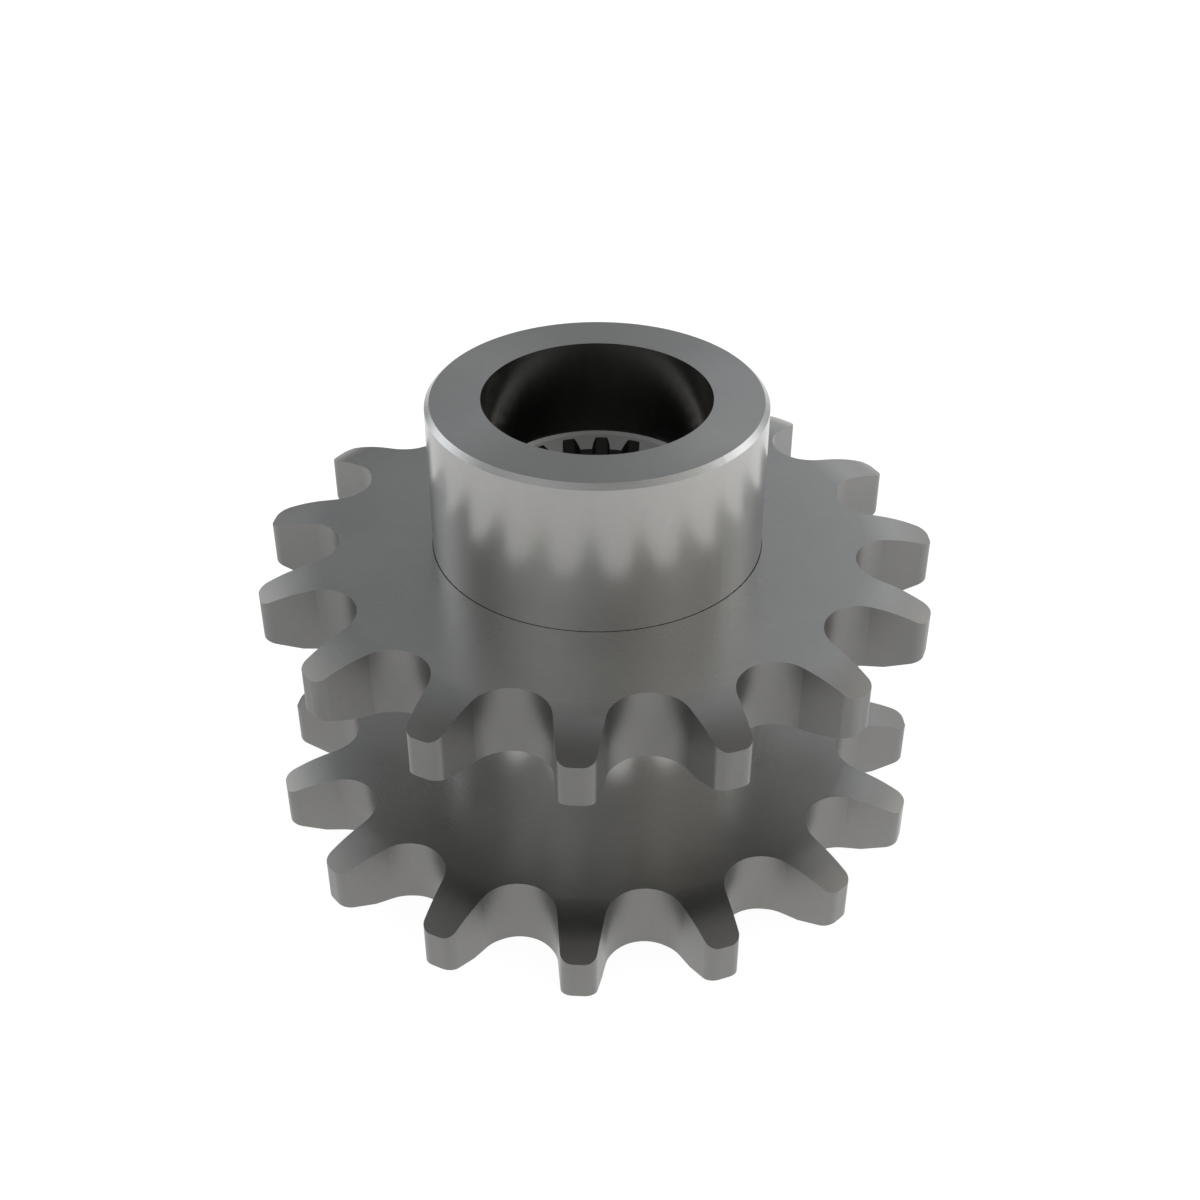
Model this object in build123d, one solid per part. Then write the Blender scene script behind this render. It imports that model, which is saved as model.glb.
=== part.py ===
from build123d import *
from math import acos, asin, cos, hypot, pi, radians, sin, tan
import os

# Double chain sprocket: a splined hub that carries two equal toothed rings, one on each side of its collar.
# Millimetres. +Z is the axis, the bottom face is at Z = 0, and a tooth of each ring is centred on +X.

# Roller chain that the rings carry
chain_pitch = 25.4
roller_diameter = 15.88
roller_clearance = 0.06

# Toothed rings
tooth_count = 15
tip_diameter = 139.2
seat_angle = 140.9
tip_corner_radius = 2.5
ring_thickness = 14.95
relief_width = 14.2
relief_depth = 3.1

# Hub
hub_diameter = 67.7
hub_height = 32.35
hub_chamfer = 1.0
collar_diameter = 72.2
collar_length = 34.6
ring_fit_gap = 0.12

# Counterbore, with the cone that its drill leaves
counterbore_diameter = 45.7
counterbore_depth = 20.6
drill_point_angle = 118

# Internal spline below the counterbore
spline_teeth = 19
spline_module = 25.4 / 12
spline_pressure_angle = 20
spline_minor_diameter = 38.1
spline_major_diameter = 42.9
spline_space_allowance = 0.15
spline_lead_in = 0.6

# Heights, from the bottom face up
collar_bottom = ring_thickness
collar_top = collar_bottom + collar_length
hub_shoulder_top = collar_top + ring_thickness
total_height = hub_shoulder_top + hub_height
counterbore_floor = total_height - counterbore_depth


# Toothed ring

def tooth_gap_points():
    """Corner points of one tooth gap, with the gap's middle line along +X.

    The roller's seat is an arc about the pitch circle. A straight flank leaves each end of the
    seat along its tangent and runs out to the tip circle, where a corner round meets it.
    """
    pitch_radius = chain_pitch / (2 * sin(pi / tooth_count))
    tip_radius = tip_diameter / 2
    seat_radius = roller_diameter / 2 + roller_clearance
    half_seat = radians(seat_angle / 2)

    seat_bottom = (pitch_radius - seat_radius, 0)
    seat_end = (pitch_radius - seat_radius * cos(half_seat), seat_radius * sin(half_seat))
    flank_direction = (sin(half_seat), cos(half_seat))

    # The corner round's centre lies its radius inside the tip circle and its radius inside the tooth,
    # measured from the flank line.
    centre_radius = tip_radius - tip_corner_radius
    offset_start = (
        seat_end[0] - tip_corner_radius * flank_direction[1],
        seat_end[1] + tip_corner_radius * flank_direction[0],
    )
    along = offset_start[0] * flank_direction[0] + offset_start[1] * flank_direction[1]
    start_squared = offset_start[0] ** 2 + offset_start[1] ** 2
    run = -along + (along**2 - start_squared + centre_radius**2) ** 0.5
    corner_centre = (
        offset_start[0] + run * flank_direction[0],
        offset_start[1] + run * flank_direction[1],
    )
    flank_end = (
        corner_centre[0] + tip_corner_radius * flank_direction[1],
        corner_centre[1] - tip_corner_radius * flank_direction[0],
    )
    outward = tip_radius / centre_radius
    tip_start = (corner_centre[0] * outward, corner_centre[1] * outward)
    middle = (
        (flank_end[0] + tip_start[0]) / 2 - corner_centre[0],
        (flank_end[1] + tip_start[1]) / 2 - corner_centre[1],
    )
    reach = tip_corner_radius / hypot(*middle)
    corner_middle = (corner_centre[0] + middle[0] * reach, corner_centre[1] + middle[1] * reach)
    return seat_bottom, seat_end, flank_end, corner_middle, tip_start


def mirrored(point):
    return (point[0], -point[1])


def turned(point, angle):
    """The point turned about the axis by an angle in radians."""
    return (
        point[0] * cos(angle) - point[1] * sin(angle),
        point[0] * sin(angle) + point[1] * cos(angle),
    )


def toothed_outline():
    """The ring's closed outer outline: a gap and half of the tooth on each side of it, repeated."""
    seat_bottom, seat_end, flank_end, corner_middle, tip_start = tooth_gap_points()
    step = 2 * pi / tooth_count
    tip_middle = (tip_diameter / 2 * cos(step / 2), tip_diameter / 2 * sin(step / 2))
    edges = []
    for gap in range(tooth_count):
        angle = (gap + 0.5) * step

        def at(point):
            return turned(point, angle)

        next_tip_start = turned(mirrored(tip_start), step)
        edges += [
            ThreePointArc(at(mirrored(tip_start)), at(mirrored(corner_middle)), at(mirrored(flank_end))),
            Line(at(mirrored(flank_end)), at(mirrored(seat_end))),
            ThreePointArc(at(mirrored(seat_end)), at(seat_bottom), at(seat_end)),
            Line(at(seat_end), at(flank_end)),
            ThreePointArc(at(flank_end), at(corner_middle), at(tip_start)),
            ThreePointArc(at(tip_start), at(tip_middle), at(next_tip_start)),
        ]
    return make_face(Wire(edges))


def relieved_blank():
    """The turned blank: a curved side relief towards the tips above, and two plain tapers along it below."""
    bore_radius = hub_diameter / 2 + ring_fit_gap
    tip_radius = tip_diameter / 2
    relief_start = tip_radius - relief_width
    relief_arc_radius = (relief_width**2 + relief_depth**2) / (2 * relief_depth)
    half_sweep = asin(relief_width / relief_arc_radius) / 2
    drop_middle = relief_arc_radius * (1 - cos(half_sweep))
    relief_middle = relief_start + relief_arc_radius * sin(half_sweep)
    profile = make_face(
        Wire(
            [
                Line((bore_radius, 0), (relief_start, 0)),
                Line((relief_start, 0), (relief_middle, drop_middle)),
                Line((relief_middle, drop_middle), (tip_radius, relief_depth)),
                Line((tip_radius, relief_depth), (tip_radius, ring_thickness - relief_depth)),
                ThreePointArc(
                    (tip_radius, ring_thickness - relief_depth),
                    (relief_middle, ring_thickness - drop_middle),
                    (relief_start, ring_thickness),
                ),
                Line((relief_start, ring_thickness), (bore_radius, ring_thickness)),
                Line((bore_radius, ring_thickness), (bore_radius, 0)),
            ]
        )
    )
    return revolve(Plane.XZ * profile, Axis.Z)


def sprocket_ring():
    return extrude(toothed_outline(), ring_thickness) & relieved_blank()


# Splined hub

def hub_blank():
    """The turned hub: collar between the ring seats, chamfered top edge, counterbore and spline bore."""
    hub_radius = hub_diameter / 2
    collar_radius = collar_diameter / 2
    counterbore_radius = counterbore_diameter / 2
    minor_radius = spline_minor_diameter / 2
    lead_in_radius = spline_major_diameter / 2 + spline_lead_in
    cone_drop = (counterbore_radius - minor_radius) / tan(radians(drill_point_angle / 2))
    corners = [
        (lead_in_radius, 0),
        (hub_radius, 0),
        (hub_radius, collar_bottom),
        (collar_radius, collar_bottom),
        (collar_radius, collar_top),
        (hub_radius, collar_top),
        (hub_radius, total_height - hub_chamfer),
        (hub_radius - hub_chamfer, total_height),
        (counterbore_radius, total_height),
        (counterbore_radius, counterbore_floor),
        (minor_radius, counterbore_floor - cone_drop),
        (minor_radius, lead_in_radius - minor_radius),
    ]
    return revolve(Plane.XZ * make_face(Polyline(corners, close=True)), Axis.Z)


def involute_angle(base_radius, radius):
    """Polar angle of the involute of a circle at a radius, measured from where it leaves the circle."""
    pressure = acos(base_radius / radius)
    return tan(pressure) - pressure


def spline_space():
    """One spline space, centred on +X: two involute flanks that close in towards the major diameter."""
    pitch_radius = spline_teeth * spline_module / 2
    base_radius = pitch_radius * cos(radians(spline_pressure_angle))
    minor_radius = spline_minor_diameter / 2
    major_radius = spline_major_diameter / 2
    half_space = (pi * spline_module / 2 + spline_space_allowance) / 2 / pitch_radius
    flank_root = half_space + involute_angle(base_radius, pitch_radius)

    def flank_point(radius):
        angle = flank_root - involute_angle(base_radius, max(radius, base_radius))
        return (radius * cos(angle), radius * sin(angle))

    start = flank_point(minor_radius)
    middle = flank_point((minor_radius + major_radius) / 2)
    end = flank_point(major_radius)
    inner = (minor_radius - spline_module / 2, start[1])
    return make_face(
        Wire(
            [
                Line(mirrored(inner), mirrored(start)),
                ThreePointArc(mirrored(start), mirrored(middle), mirrored(end)),
                ThreePointArc(mirrored(end), (major_radius, 0), end),
                ThreePointArc(end, middle, start),
                Line(start, inner),
                Line(inner, mirrored(inner)),
            ]
        )
    )


def splined_hub():
    hub = hub_blank()
    space = extrude(spline_space(), counterbore_floor)
    spaces = [Rot(0, 0, turn * 360 / spline_teeth) * space for turn in range(spline_teeth)]
    return hub - spaces


parts = {
    "splined_hub": splined_hub(),
    "upper_sprocket_ring": Pos(0, 0, collar_top) * sprocket_ring(),
    "lower_sprocket_ring": sprocket_ring(),
}

os.makedirs("parts", exist_ok=True)
for name, shape in parts.items():
    export_step(shape, f"parts/{name}.step")
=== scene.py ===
# %% [markdown]
# A double chain sprocket in a white studio. The real object is two toothed steel rings seated on a turned
# and splined steel hub. The solids already have their true shape, so this lesson is about everything else:
# where the camera stands, what the metal has to reflect, and how turned steel differs from cut steel.

import math
from types import SimpleNamespace

import bpy
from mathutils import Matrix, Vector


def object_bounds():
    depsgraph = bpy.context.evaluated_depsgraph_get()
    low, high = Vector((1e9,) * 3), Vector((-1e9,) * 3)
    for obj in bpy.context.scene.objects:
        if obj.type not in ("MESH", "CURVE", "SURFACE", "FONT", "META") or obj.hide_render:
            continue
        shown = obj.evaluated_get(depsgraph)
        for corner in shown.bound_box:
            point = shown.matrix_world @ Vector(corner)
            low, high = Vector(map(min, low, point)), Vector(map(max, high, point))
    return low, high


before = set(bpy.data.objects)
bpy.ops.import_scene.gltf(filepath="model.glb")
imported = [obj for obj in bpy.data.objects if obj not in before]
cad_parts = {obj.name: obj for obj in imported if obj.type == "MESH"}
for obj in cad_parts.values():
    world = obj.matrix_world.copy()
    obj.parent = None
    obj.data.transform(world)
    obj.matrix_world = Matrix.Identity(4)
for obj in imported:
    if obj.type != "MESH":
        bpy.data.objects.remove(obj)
cad_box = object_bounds()

MM = 0.001
total_height = cad_box[1].z
tip_radius = max(cad_box[1].x, -cad_box[0].x)
print("loaded", sorted(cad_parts), "height", round(total_height / MM, 2), "mm")

# %% [markdown]
# The camera looks down on a corner of the object, as an isometric drawing does: it stands an eighth of a
# turn round and about 35 degrees up. Close to the object the far side shrinks, so the lens matters as much
# as the direction. The camera's place is given in hub radii from the centre of the hub's end face.

# %% Place the camera
CAMERA_UNIT = 33.83 * MM
CAMERA_SIDEWAYS = 6.0119
CAMERA_TOWARDS_FRONT = 5.9881
CAMERA_ABOVE_HUB_END = 4.5545
CAMERA_TILT_DOWN = 35.258
CAMERA_TURN = 45.0
SENSOR_WIDTH = 36.0
FOCAL_LENGTH = 49.632
NEAREST_SEEN = 10 * MM


def add_camera():
    """A camera aimed by its two angles: the tilt below the horizon and the turn about the vertical."""
    lens = bpy.data.cameras.new("studio_camera")
    lens.sensor_width = SENSOR_WIDTH
    lens.lens = FOCAL_LENGTH
    lens.clip_start = NEAREST_SEEN
    lens.dof.use_dof = False
    camera = bpy.data.objects.new("studio_camera", lens)
    camera.location = (
        CAMERA_SIDEWAYS * CAMERA_UNIT,
        -CAMERA_TOWARDS_FRONT * CAMERA_UNIT,
        total_height + CAMERA_ABOVE_HUB_END * CAMERA_UNIT,
    )
    camera.rotation_euler = (math.radians(90 - CAMERA_TILT_DOWN), 0, math.radians(CAMERA_TURN))
    bpy.context.scene.collection.objects.link(camera)
    bpy.context.scene.camera = camera
    return camera


camera = add_camera()
bpy.context.scene.view_settings.view_transform = "Standard"
print("camera at", [round(value, 4) for value in camera.location])

# %% [markdown]
# Every material below is a small graph of nodes. Writing each link by hand hides the idea behind the wiring,
# so a few helpers let a graph be written almost like a formula. A socket or a plain number can be passed in.


# %% Helpers that build node graphs
USUAL_NOISE_RANGE = (0.3, 0.7)


class Graph:
    """Adds nodes to one node tree. Each method returns the output socket of the node that it added."""

    def __init__(self, tree):
        self.tree = tree
        tree.nodes.clear()

    def node(self, kind, **settings):
        made = self.tree.nodes.new(kind)
        for name, value in settings.items():
            setattr(made, name, value)
        return made

    def feed(self, socket, value):
        """Links a socket to another socket, or sets it to a plain value."""
        if isinstance(value, bpy.types.NodeSocket):
            self.tree.links.new(value, socket)
        else:
            socket.default_value = value

    def math(self, operation, *values):
        made = self.node("ShaderNodeMath", operation=operation)
        for socket, value in zip(made.inputs, values):
            self.feed(socket, value)
        return made.outputs[0]

    def vector_math(self, operation, first, second):
        made = self.node("ShaderNodeVectorMath", operation=operation)
        self.feed(made.inputs[0], first)
        self.feed(made.inputs[1], second)
        return made.outputs["Vector"]

    def scaled(self, colour, factor):
        """A plain colour or vector times a number."""
        made = self.node("ShaderNodeVectorMath", operation="SCALE")
        self.feed(made.inputs[0], colour)
        self.feed(made.inputs["Scale"], factor)
        return made.outputs["Vector"]

    def between(self, value, low, high, at_low=0.0, at_high=1.0):
        """A smooth step from one value to another, as the input goes from low to high."""
        made = self.node("ShaderNodeMapRange", interpolation_type="SMOOTHSTEP")
        for socket, setting in zip(made.inputs, (value, low, high, at_low, at_high)):
            self.feed(socket, setting)
        return made.outputs[0]

    def varied(self, noise, middle, swing):
        """A noise turned into a value that swings about a middle."""
        return self.between(noise, *USUAL_NOISE_RANGE, middle - swing, middle + swing)

    def blend(self, share, first, second):
        """Plain mix of two numbers: first where the share is 0, second where it is 1."""
        made = self.node("ShaderNodeMix", data_type="FLOAT")
        self.feed(made.inputs["Factor"], share)
        self.feed(made.inputs["A"], first)
        self.feed(made.inputs["B"], second)
        return made.outputs["Result"]

    def noise(self, place, scale, detail=2.0, roughness=0.5):
        """Soft random values about 0.5, in space."""
        made = self.node("ShaderNodeTexNoise", noise_dimensions="3D")
        self.feed(made.inputs["Vector"], place)
        made.inputs["Scale"].default_value = scale
        made.inputs["Detail"].default_value = detail
        made.inputs["Roughness"].default_value = roughness
        return made.outputs[0]

    def noise_along(self, distance, scale, detail=2.0):
        """Soft random values about 0.5 that change only along one distance."""
        made = self.node("ShaderNodeTexNoise", noise_dimensions="1D")
        self.feed(made.inputs["W"], distance)
        made.inputs["Scale"].default_value = scale
        made.inputs["Detail"].default_value = detail
        return made.outputs[0]

    def stretched(self, place, scale):
        made = self.node("ShaderNodeMapping", vector_type="POINT")
        self.feed(made.inputs["Vector"], place)
        made.inputs["Scale"].default_value = scale
        return made.outputs[0]


# %% [markdown]
# Bare steel has hardly any colour of its own: it shows what stands round it. So the studio is designed first.
# A room with white walls would make the metal look like paper. Here the ceiling is dark, two broad soft
# lights stand in front, a smaller one on each side, and a weak one behind. All but the front right one are
# slightly cool. The flat faces, which mirror the back of the room towards the camera, turn mid grey, and the
# round walls catch the brighter sides. The camera itself sees plain white wherever it looks past the floor.

# %% Light the room with five broad soft lights
WHITE = (1.0, 1.0, 1.0)
COOL_TINT = (0.98, 1.0, 1.03)
COOLER_TINT = (0.97, 1.0, 1.05)
COOLEST_TINT = (0.95, 1.0, 1.06)
# Each light: direction round the object and above the floor in degrees, level at its middle, spread in
# degrees, and tint.
SOFT_LIGHTS = {
    "front_left_light": (278, 8, 2.36, 45, COOL_TINT),
    "front_right_light": (13, 8, 2.56, 40, WHITE),
    "right_light": (66, 25, 2.30, 18, COOL_TINT),
    "left_light": (193, 23, 2.60, 22, COOLEST_TINT),
    "back_light": (104, 21, 0.99, 37, COOLER_TINT),
}


def direction(azimuth, elevation):
    """Unit vector towards an azimuth, counted from +X round to +Y, and an elevation above the floor."""
    turn = math.radians(azimuth)
    rise = math.radians(elevation)
    return (math.cos(rise) * math.cos(turn), math.cos(rise) * math.sin(turn), math.sin(rise))


def soft_light(graph, view_direction, azimuth, elevation, level, spread, tint):
    """Level of one soft light: level * exp(sharpness * (cosine of the angle from its middle - 1)).

    The sharpness is chosen so that the light falls to 37 percent at its spread.
    """
    sharpness = 1 / (1 - math.cos(math.radians(spread)))
    cosine = graph.node("ShaderNodeVectorMath", operation="DOT_PRODUCT")
    graph.feed(cosine.inputs[0], view_direction)
    cosine.inputs[1].default_value = direction(azimuth, elevation)
    away = graph.math("SUBTRACT", cosine.outputs["Value"], 1.0)
    falloff = graph.math("EXPONENT", graph.math("MULTIPLY", away, sharpness))
    return graph.scaled([level * channel for channel in tint], falloff)


def light_the_room():
    world = bpy.data.worlds.new("white_studio")
    world.use_nodes = True
    bpy.context.scene.world = world
    graph = Graph(world.node_tree)
    view_direction = graph.node("ShaderNodeTexCoord").outputs["Generated"]
    total = (0.0, 0.0, 0.0)
    for azimuth, elevation, level, spread, tint in SOFT_LIGHTS.values():
        light = soft_light(graph, view_direction, azimuth, elevation, level, spread, tint)
        total = graph.vector_math("ADD", total, light)
    backdrop = graph.node("ShaderNodeMix", data_type="VECTOR")
    graph.feed(backdrop.inputs["Factor"], graph.node("ShaderNodeLightPath").outputs["Is Camera Ray"])
    graph.feed(backdrop.inputs["A"], total)
    graph.feed(backdrop.inputs["B"], WHITE)
    background = graph.node("ShaderNodeBackground")
    graph.feed(background.inputs["Color"], backdrop.outputs["Result"])
    output = graph.node("ShaderNodeOutputWorld")
    graph.feed(output.inputs["Surface"], background.outputs[0])
    return world


room = light_the_room()
print(room.name, "lit by", list(SOFT_LIGHTS))

# %% [markdown]
# The floor is the white background of the picture, and it is also the brightest thing that the upright walls
# of the hub and the teeth mirror. The camera sees it plain white, with a faint soft shadow where the object
# stands. What the metal mirrors is richer: a floor that is brightest far out, with a painted shade band round
# the object where its own shade would fall, and painted light that makes it brighter towards the two sides
# than in front and behind. Seen from below the floor is clear, so the underside can be looked at.

# %% Lay the floor
FLOOR_REACH = 15.0
FLOOR_DROP = 0.05 * MM
FLOOR_GLOW = 0.90
FLOOR_SHADING = 0.20
MIRRORED_LEVEL = 1.09
# Painted shade band round the object and painted light towards the sides, seen only in reflections.
PAINTED_SHADE_BAND_DEPTH = 0.46
PAINTED_SHADE_BAND_RADIUS = 122 * MM
PAINTED_SHADE_BAND_WIDTH = 30 * MM
PAINTED_SIDE_LIGHT_GAIN = 0.12
PAINTED_RIGHT_LIGHT_GAIN = 0.13


def mirrored_floor_level(graph, place):
    """Level of the floor in reflections, from the distance r to the axis and the place (x, y).

    A painted shade band round the object, times painted light towards the sides:
    (level - depth * exp(-((r - band radius) / band width) squared))
    * (1 + sides gain * 2xy / (r squared + tip squared) + right gain * r (x + y) / root 2 / (the same sum)).
    """
    split = graph.node("ShaderNodeSeparateXYZ")
    graph.feed(split.inputs[0], place)
    x, y = split.outputs[0], split.outputs[1]
    squares = graph.math("ADD", graph.math("MULTIPLY", x, x), graph.math("MULTIPLY", y, y))
    radius = graph.math("SQRT", squares)
    # Painted shade: the floor is darker in a band round the object.
    from_band = graph.math("DIVIDE", graph.math("SUBTRACT", radius, PAINTED_SHADE_BAND_RADIUS), PAINTED_SHADE_BAND_WIDTH)
    squared = graph.math("MULTIPLY", from_band, from_band)
    band = graph.math("EXPONENT", graph.math("MULTIPLY", squared, -1.0))
    level = graph.math("MULTIPLY_ADD", band, -PAINTED_SHADE_BAND_DEPTH, MIRRORED_LEVEL)

    # Painted light: the floor is brighter towards the two sides, most on the right.
    reach = graph.math("ADD", squares, tip_radius**2)
    both_sides = graph.math("MULTIPLY", graph.math("MULTIPLY", x, y), 2 * PAINTED_SIDE_LIGHT_GAIN)
    rightwards = graph.math("MULTIPLY", graph.math("ADD", x, y), PAINTED_RIGHT_LIGHT_GAIN / math.sqrt(2))
    gain = graph.math("ADD", both_sides, graph.math("MULTIPLY", rightwards, radius))
    return graph.math("MULTIPLY", level, graph.math("ADD", graph.math("DIVIDE", gain, reach), 1.0))


def floor_material():
    """Plain white with a faint shadow for the camera. For the metal to mirror, the floor has a painted shade
    band round the object and painted light towards the sides.
    """
    material = bpy.data.materials.new("white_floor")
    material.use_nodes = True
    graph = Graph(material.node_tree)
    place = graph.node("ShaderNodeTexCoord").outputs["Object"]
    seen = graph.node("ShaderNodeLightPath")
    mirrored = graph.math("MAXIMUM", seen.outputs["Is Glossy Ray"], seen.outputs["Is Transmission Ray"])
    for_mirrors = graph.math("MULTIPLY", mirrored, mirrored_floor_level(graph, place))
    for_camera = graph.math("MULTIPLY", seen.outputs["Is Camera Ray"], FLOOR_GLOW)
    glow = graph.node("ShaderNodeEmission")
    graph.feed(glow.inputs["Strength"], graph.math("ADD", for_mirrors, for_camera))
    shading = graph.node("ShaderNodeBsdfDiffuse")
    shading.inputs["Color"].default_value = (FLOOR_SHADING, FLOOR_SHADING, FLOOR_SHADING, 1)
    lit = graph.node("ShaderNodeAddShader")
    graph.feed(lit.inputs[0], glow.outputs[0])
    graph.feed(lit.inputs[1], shading.outputs[0])

    clear = graph.node("ShaderNodeBsdfTransparent")
    sided = graph.node("ShaderNodeMixShader")
    graph.feed(sided.inputs[0], graph.node("ShaderNodeNewGeometry").outputs["Backfacing"])
    graph.feed(sided.inputs[1], lit.outputs[0])
    graph.feed(sided.inputs[2], clear.outputs[0])
    output = graph.node("ShaderNodeOutputMaterial")
    graph.feed(output.inputs["Surface"], sided.outputs[0])
    return material


def lay_floor():
    corners = [
        (-FLOOR_REACH, -FLOOR_REACH, -FLOOR_DROP),
        (FLOOR_REACH, -FLOOR_REACH, -FLOOR_DROP),
        (FLOOR_REACH, FLOOR_REACH, -FLOOR_DROP),
        (-FLOOR_REACH, FLOOR_REACH, -FLOOR_DROP),
    ]
    mesh = bpy.data.meshes.new("studio_floor")
    mesh.from_pydata(corners, [], [(0, 1, 2, 3)])
    floor = bpy.data.objects.new("studio_floor", mesh)
    bpy.context.scene.collection.objects.link(floor)
    mesh.materials.append(floor_material())
    return floor


floor = lay_floor()
print(floor.name, "reaches", FLOOR_REACH, "m each way")

# %% [markdown]
# Turned steel keeps the path of the tool. On a flat face the tool moved inwards, so the marks are circles
# about the axis, and on a round wall it moved along the axis, so they are hoops. Both are one pattern: fine
# noise along the distance that the tool was fed, which is the radius on flat faces and the height on walls.
# The tooth gaps and the spline were cut by a different tool that moved up and down, so their marks are
# upright streaks, and those walls are rougher than the turned ones. They are also painted darker, a painted
# shade for the shade in the gaps and on the floor that they mirror, and the tooth ends carry nearly the same
# painted shade. The flat faces are a little rougher than the round walls, and the bored walls inside the hub
# are the brightest and smoothest. The side reliefs are painted darker and a little warm towards the tooth
# tips, a painted shade and a painted warm reflection. The lower ring's faces are painted a little darker
# than the upper ring's, a painted shade under the upper ring, and the upper ring's a little lighter, painted
# light.
#
# The circles on the hub's end face are so even that they stretch every reflection outwards, across them.
# An anisotropic shader does that when its tangent points across the marks, so the tangent is built from the
# point's own place: the direction away from the axis.

# %% Describe the steel
STEEL_COLOUR = (0.304, 0.300, 0.288)
# Tones and tint of the other walls and faces against plain turned steel. The gap wall, tooth end and relief
# tones are painted shade, the relief tint is a painted warm reflection, and the ring face tones are painted
# light and shade.
GAP_WALL_PAINTED_SHADE_TONE = 0.62
TOOTH_END_PAINTED_SHADE_TONE = 0.64
BORED_WALL_TONE = 1.25
# Painted shade and a painted warm reflection on the side reliefs, growing towards the tooth tips.
RELIEF_TIP_PAINTED_SHADE_TONE = 0.68
RELIEF_PAINTED_WARM_REFLECTION_SHIFT = (0.03, 0.0, -0.05)
HUB_FACE_TONE = 1.04
# Painted light and shade on the ring faces: the upper ring's a little lighter, and the lower ring's, under
# the upper ring, a little darker.
RING_FACE_PAINTED_LIGHT_AND_SHADE = {"upper": 1.05, "lower": 0.91}
# Roughness, and how far the hub's end face stretches its reflections.
TURNED_ROUGHNESS = 0.24
CUT_ROUGHNESS = 0.40
BORED_ROUGHNESS = 0.20
HUB_FACE_ROUGHNESS = 0.30
RING_FACE_ROUGHNESS = 0.29
HUB_FACE_ANISOTROPY = 0.85
RING_FACE_ANISOTROPY = 0.0
# Tool marks, smudges and grain: their size, and how strongly each one shows.
TOOL_MARK_PITCH = 0.28 * MM
TOOL_MARK_HEIGHT = 0.0006 * MM
STREAK_WIDTH = 0.5 * MM
STREAK_STRETCH = 0.04
STREAK_HEIGHT = 0.0003 * MM
MARK_ROUGHNESS_SWING = 0.01
SMUDGE_SIZE = 22 * MM
SMUDGE_TONE_SWING = 0.03
SMUDGE_ROUGHNESS_SWING = 0.015
GRAIN_SIZE = 1.6 * MM
GRAIN_TONE_SWING = 0.015
# Where one kind of surface ends and the next begins. The first two are the upward part of the normal.
FLAT_FACE_FROM = 0.75
FLAT_FACE_FULL = 0.97
BORED_WITHIN_RADIUS = 24 * MM
CUT_BEYOND_RADIUS = 49 * MM
RELIEF_FROM_RADIUS = 59 * MM
TOOTH_END_BAND = 0.4 * MM
SPLINE_FROM_RADIUS = 19.0 * MM
SPLINE_TO_RADIUS = 22.0 * MM
BEYOND_THE_TIPS = 2 * tip_radius


def surface_facts(graph, cut_from, cut_to):
    """Where a point lies, and how much of each kind of surface it is: flat, cut, bored or relieved.

    Upright walls between the two radii are cut, and all others are turned or bored.
    """
    place = graph.node("ShaderNodeTexCoord").outputs["Object"]
    split = graph.node("ShaderNodeSeparateXYZ")
    graph.feed(split.inputs[0], place)
    x, y, height = split.outputs
    squares = graph.math("ADD", graph.math("MULTIPLY", x, x), graph.math("MULTIPLY", y, y))
    radius = graph.math("SQRT", squares)

    facing = graph.node("ShaderNodeSeparateXYZ")
    graph.feed(facing.inputs[0], graph.node("ShaderNodeNewGeometry").outputs["Normal"])
    upright = graph.math("ABSOLUTE", facing.outputs[2])
    flat = graph.between(upright, FLAT_FACE_FROM, FLAT_FACE_FULL)
    wall = graph.math("SUBTRACT", 1.0, flat)

    beyond = graph.math("GREATER_THAN", radius, cut_from)
    within = graph.math("LESS_THAN", radius, cut_to)
    cut = graph.math("MULTIPLY", wall, graph.math("MULTIPLY", beyond, within))
    bored = graph.math("MULTIPLY", wall, graph.math("LESS_THAN", radius, BORED_WITHIN_RADIUS))
    relieved = graph.between(radius, RELIEF_FROM_RADIUS, tip_radius)
    return SimpleNamespace(
        place=place,
        x=x,
        y=y,
        height=height,
        radius=radius,
        flat=flat,
        cut=cut,
        bored=bored,
        relieved=relieved,
    )


def tool_marks(graph, point):
    """Fine noise along the tool's feed on turned surfaces, and upright streaks on cut ones."""
    fed = graph.blend(point.flat, point.height, point.radius)
    turned_marks = graph.noise_along(fed, 1 / TOOL_MARK_PITCH, detail=3.0)
    streak_place = graph.stretched(point.place, (1, 1, STREAK_STRETCH))
    streaks = graph.noise(streak_place, 1 / STREAK_WIDTH, detail=2.0)
    return graph.blend(point.cut, turned_marks, streaks)


def raised_marks(graph, point, marks):
    """The tool marks as a bump. Returns the normal that they give."""
    bump = graph.node("ShaderNodeBump")
    bump.inputs["Strength"].default_value = 1.0
    bump.inputs["Distance"].default_value = 1.0
    mark_height = graph.blend(point.cut, TOOL_MARK_HEIGHT, STREAK_HEIGHT)
    graph.feed(bump.inputs["Height"], graph.math("MULTIPLY", marks, mark_height))
    return bump.outputs[0]


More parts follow.
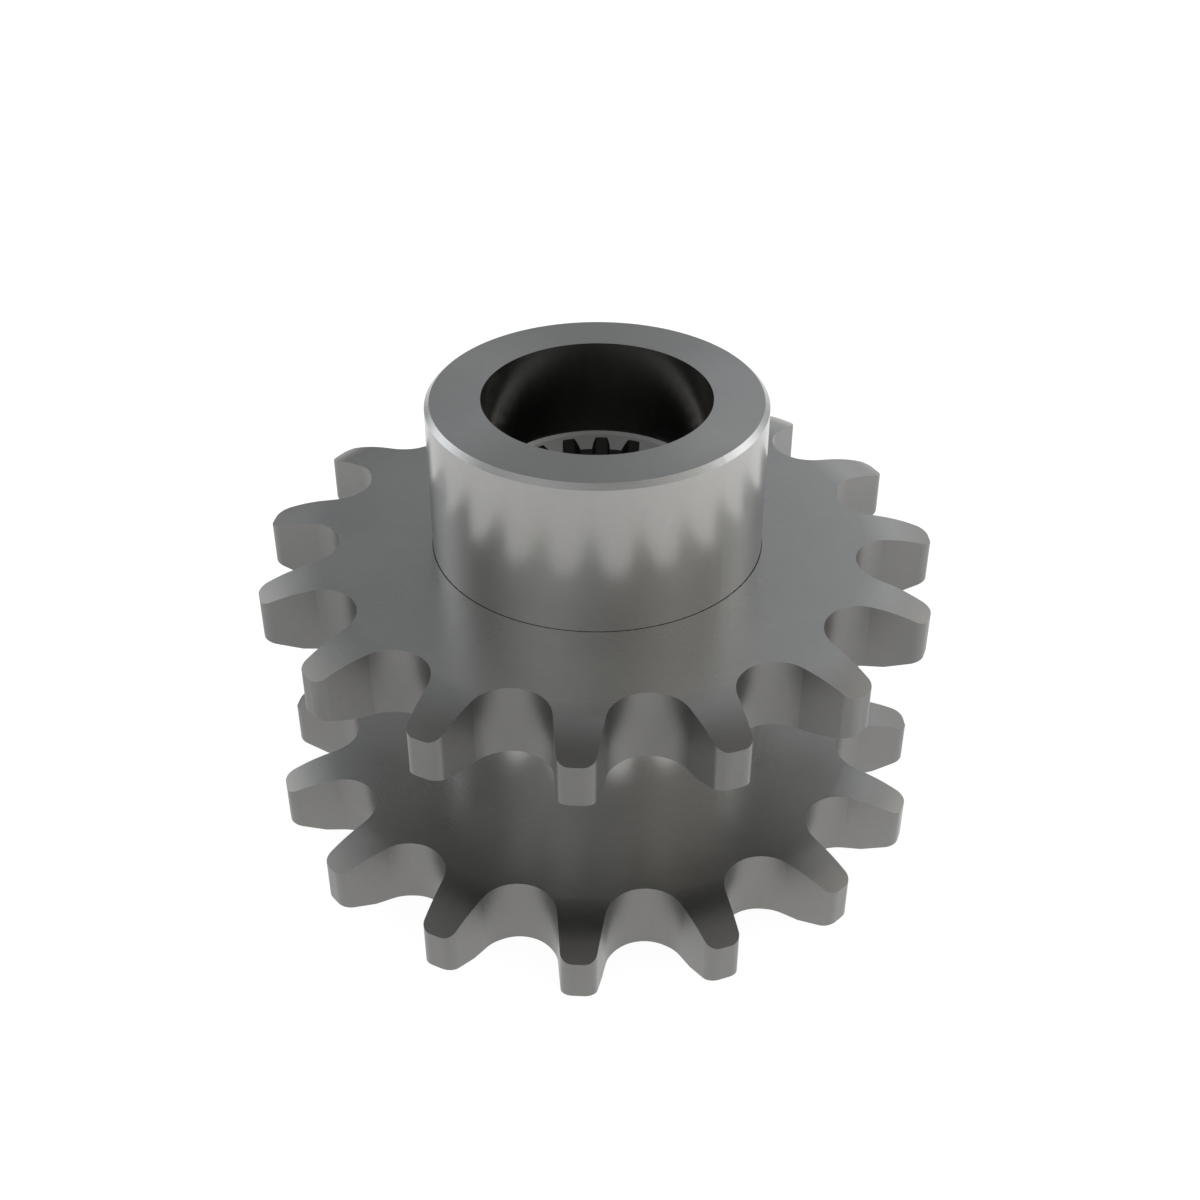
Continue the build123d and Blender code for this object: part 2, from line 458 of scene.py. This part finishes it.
def steel_colour(graph, point, smudges, face_tone):
    """The steel's colour, with a tone for each kind of surface and a faint unevenness. The tones of the cut
    walls, the reliefs and the ring faces are painted shade and light, and the reliefs' tint is a painted warm
    reflection.
    """
    end_from = tip_radius - TOOTH_END_BAND
    end_full = tip_radius - TOOTH_END_BAND / 2
    # Painted shade: the cut walls of the tooth gaps and the spline are darker, and the tooth ends nearly as
    # dark.
    cut_painted_shade_tone = graph.between(point.radius, end_from, end_full, GAP_WALL_PAINTED_SHADE_TONE, TOOTH_END_PAINTED_SHADE_TONE)
    tone = graph.blend(point.bored, 1.0, BORED_WALL_TONE)
    # Painted shade on the side reliefs, darker towards the tooth tips.
    tone = graph.blend(point.relieved, tone, RELIEF_TIP_PAINTED_SHADE_TONE)
    # On the rings the face tone is painted light on the upper ring and painted shade on the lower one.
    tone = graph.math("MULTIPLY", tone, graph.blend(point.flat, 1.0, face_tone))
    tone = graph.blend(point.cut, tone, cut_painted_shade_tone)
    grain = graph.noise(point.place, 1 / GRAIN_SIZE, detail=4.0, roughness=0.6)
    tone = graph.math("MULTIPLY", tone, graph.varied(smudges, 1.0, SMUDGE_TONE_SWING))
    tone = graph.math("MULTIPLY", tone, graph.varied(grain, 1.0, GRAIN_TONE_SWING))

    # Painted warm reflection on the reliefs' flat faces, growing towards the tooth tips.
    painted_warm_reflection = graph.scaled(RELIEF_PAINTED_WARM_REFLECTION_SHIFT, graph.math("MULTIPLY", point.relieved, point.flat))
    relief_painted_reflection_tint = graph.vector_math("ADD", WHITE, painted_warm_reflection)
    return graph.vector_math("MULTIPLY", graph.scaled(STEEL_COLOUR, tone), relief_painted_reflection_tint)


def steel_roughness(graph, point, smudges, marks, face_roughness):
    """The steel's roughness, one value for each kind of surface and a faint unevenness."""
    roughness = graph.blend(point.bored, TURNED_ROUGHNESS, BORED_ROUGHNESS)
    roughness = graph.blend(point.cut, roughness, CUT_ROUGHNESS)
    roughness = graph.blend(point.flat, roughness, face_roughness)
    roughness = graph.math("ADD", roughness, graph.varied(smudges, 0.0, SMUDGE_ROUGHNESS_SWING))
    return graph.math("ADD", roughness, graph.varied(marks, 0.0, MARK_ROUGHNESS_SWING))


def stretch_reflections(graph, metal, point, anisotropy):
    """Stretches the reflections of flat faces outwards, across the turned circles."""
    outwards = graph.node("ShaderNodeCombineXYZ")
    graph.feed(outwards.inputs[0], point.x)
    graph.feed(outwards.inputs[1], point.y)
    across_marks = graph.vector_math("NORMALIZE", outwards.outputs[0], (0, 0, 0))
    graph.feed(metal.inputs["Tangent"], across_marks)
    graph.feed(metal.inputs["Anisotropic"], graph.math("MULTIPLY", point.flat, anisotropy))


def steel(name, cut_from, cut_to, face_tone, face_roughness, face_anisotropy):
    """Bare machined steel, turned everywhere apart from upright walls between two radii, which are cut."""
    material = bpy.data.materials.new(name)
    material.use_nodes = True
    graph = Graph(material.node_tree)
    point = surface_facts(graph, cut_from, cut_to)
    marks = tool_marks(graph, point)
    smudges = graph.noise(point.place, 1 / SMUDGE_SIZE, detail=3.0)
    metal = graph.node("ShaderNodeBsdfPrincipled")
    metal.inputs["Metallic"].default_value = 1.0
    graph.feed(metal.inputs["Base Color"], steel_colour(graph, point, smudges, face_tone))
    graph.feed(metal.inputs["Roughness"], steel_roughness(graph, point, smudges, marks, face_roughness))
    graph.feed(metal.inputs["Normal"], raised_marks(graph, point, marks))
    if face_anisotropy:
        stretch_reflections(graph, metal, point, face_anisotropy)
    output = graph.node("ShaderNodeOutputMaterial")
    graph.feed(output.inputs["Surface"], metal.outputs[0])
    return material


hub_steel = steel(
    "turned_hub_steel",
    SPLINE_FROM_RADIUS,
    SPLINE_TO_RADIUS,
    HUB_FACE_TONE,
    HUB_FACE_ROUGHNESS,
    HUB_FACE_ANISOTROPY,
)
# One copy of the ring steel for each ring: painted light on the upper one, painted shade on the lower one.
ring_steels = {
    position: steel(
        "hobbed_" + position + "_ring_steel",
        CUT_BEYOND_RADIUS,
        BEYOND_THE_TIPS,
        face_tone,
        RING_FACE_ROUGHNESS,
        RING_FACE_ANISOTROPY,
    )
    for position, face_tone in RING_FACE_PAINTED_LIGHT_AND_SHADE.items()
}
print("made", hub_steel.name, "and", [material.name for material in ring_steels.values()])

# %% [markdown]
# The steels are ready, so each solid now wears its own: the hub the turned one, and each ring the one made
# for its position, with painted light on the upper ring's faces and painted shade on the lower ring's.


# %% Dress the hub and the rings
def dress(node, material):
    """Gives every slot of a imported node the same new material."""
    for slot in node.material_slots:
        slot.material = material


dress(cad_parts["splined_hub"], hub_steel)
for position, ring_steel in ring_steels.items():
    dress(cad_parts[position + "_sprocket_ring"], ring_steel)
print("dressed", sorted(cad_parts))
